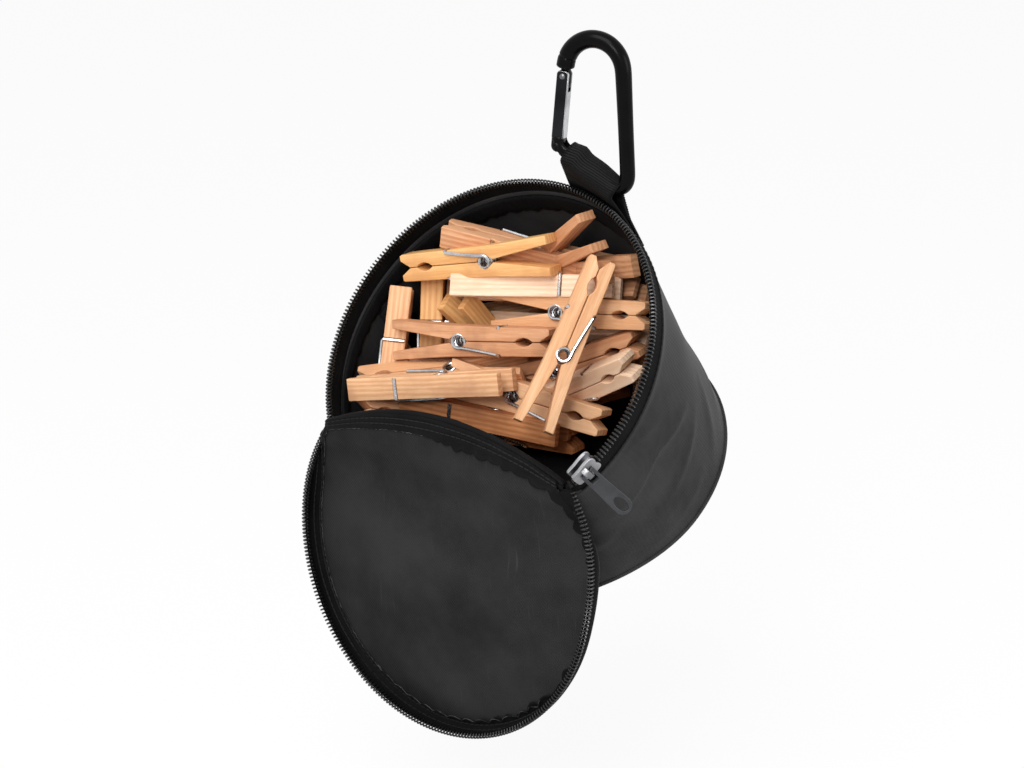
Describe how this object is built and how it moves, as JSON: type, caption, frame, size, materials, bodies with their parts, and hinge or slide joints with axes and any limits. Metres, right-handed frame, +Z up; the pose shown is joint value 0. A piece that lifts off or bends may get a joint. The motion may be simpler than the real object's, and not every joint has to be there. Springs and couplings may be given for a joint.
{
  "type": "peg bag",
  "caption": "Round zipped peg bag of black nylon, its lid hanging open on a cloth hinge, hung by a webbing loop from a sprung carabiner.",
  "frame": {"origin": "top of the carabiner's opening, where a clothes line carries the bag", "axes": "+Z up as the bag hangs, +X along the lid's hinge toward the zip slider, -Y the side that the open mouth faces"},
  "size_m": [0.1571, 0.1475, 0.2827],
  "materials": {
    "nylon_cloth": "coated weave, slight sheen",
    "seam_cloth": "matt raw edge",
    "zip_tape": "matt",
    "zip_coil": "glossy",
    "webbing": "ribbed weave",
    "black_anodised": "glossy black anodised",
    "bare_aluminium": "polished",
    "steel": "plain",
    "zinc_cast": "satin cast",
    "painted_zinc": "satin dark grey"
  },
  "bodies": {
    "carabiner": {"carabiner_frame": "black_anodised", "gate_pivot_pin": "steel"},
    "gate": {"carabiner_gate": "bare_aluminium", "gate_latch_pin": "steel", "gate_plunger": "steel", "gate_spring": "steel"},
    "bag": {"hanging_loop": "webbing", "wall_panel": "nylon_cloth", "rim_seam_allowance": "seam_cloth", "side_seam_allowance": "seam_cloth", "base_panel": "nylon_cloth", "base_seam_allowance": "seam_cloth", "body_zip_coil": "zip_coil", "body_zip_tape": "zip_tape", "zip_bottom_stop": "zinc_cast", "body_zip_top_stop": "zinc_cast", "hinge_fold": "seam_cloth"},
    "lid": {"lid_panel": "nylon_cloth", "lid_hinge_band": "seam_cloth", "lid_seam_allowance": "seam_cloth", "lid_zip_coil": "zip_coil", "lid_zip_tape": "zip_tape", "lid_zip_top_stop": "zinc_cast"},
    "slider": {"slider_body": "zinc_cast"},
    "pull_tab": {"pull_tab": "painted_zinc"}
  },
  "joints": [
    {"name": "gate_hinge", "type": "hinge", "parent": "carabiner", "child": "gate", "pos_m": [-0.01487, -0.00316, -0.0406], "axis": [-0.2079, 0.9781, 0], "range_deg": [0, 24], "stiffness_Nm_per_rad": 0.03, "springref_deg": -22.92},
    {"name": "bag_swing", "type": "hinge", "parent": "carabiner", "child": "bag", "pos_m": [-0.00178, -0.00038, -0.04903], "axis": [0.8277, 0.1759, -0.533], "range_deg": [-25, 25]},
    {"name": "lid_fold", "type": "hinge", "parent": "bag", "child": "lid", "pos_m": [-0.02295, -0.06912, -0.15484], "axis": [-1, 0, 0], "range_deg": [-4, 213.5], "deforming": ["lid_zip_tape", "hinge_fold"]},
    {"name": "slider_run", "type": "hinge", "parent": "bag", "child": "slider", "pos_m": [-0.02295, -0.04267, -0.11844], "axis": [0, -0.809, 0.5878], "range_deg": [0, 238], "deforming": ["hanging_loop"]},
    {"name": "tab_flip", "type": "hinge", "parent": "slider", "child": "pull_tab", "pos_m": [0.04531, -0.06491, -0.14905], "axis": [-0.4848, -0.5141, -0.7076], "range_deg": [-30, 100]}
  ]
}
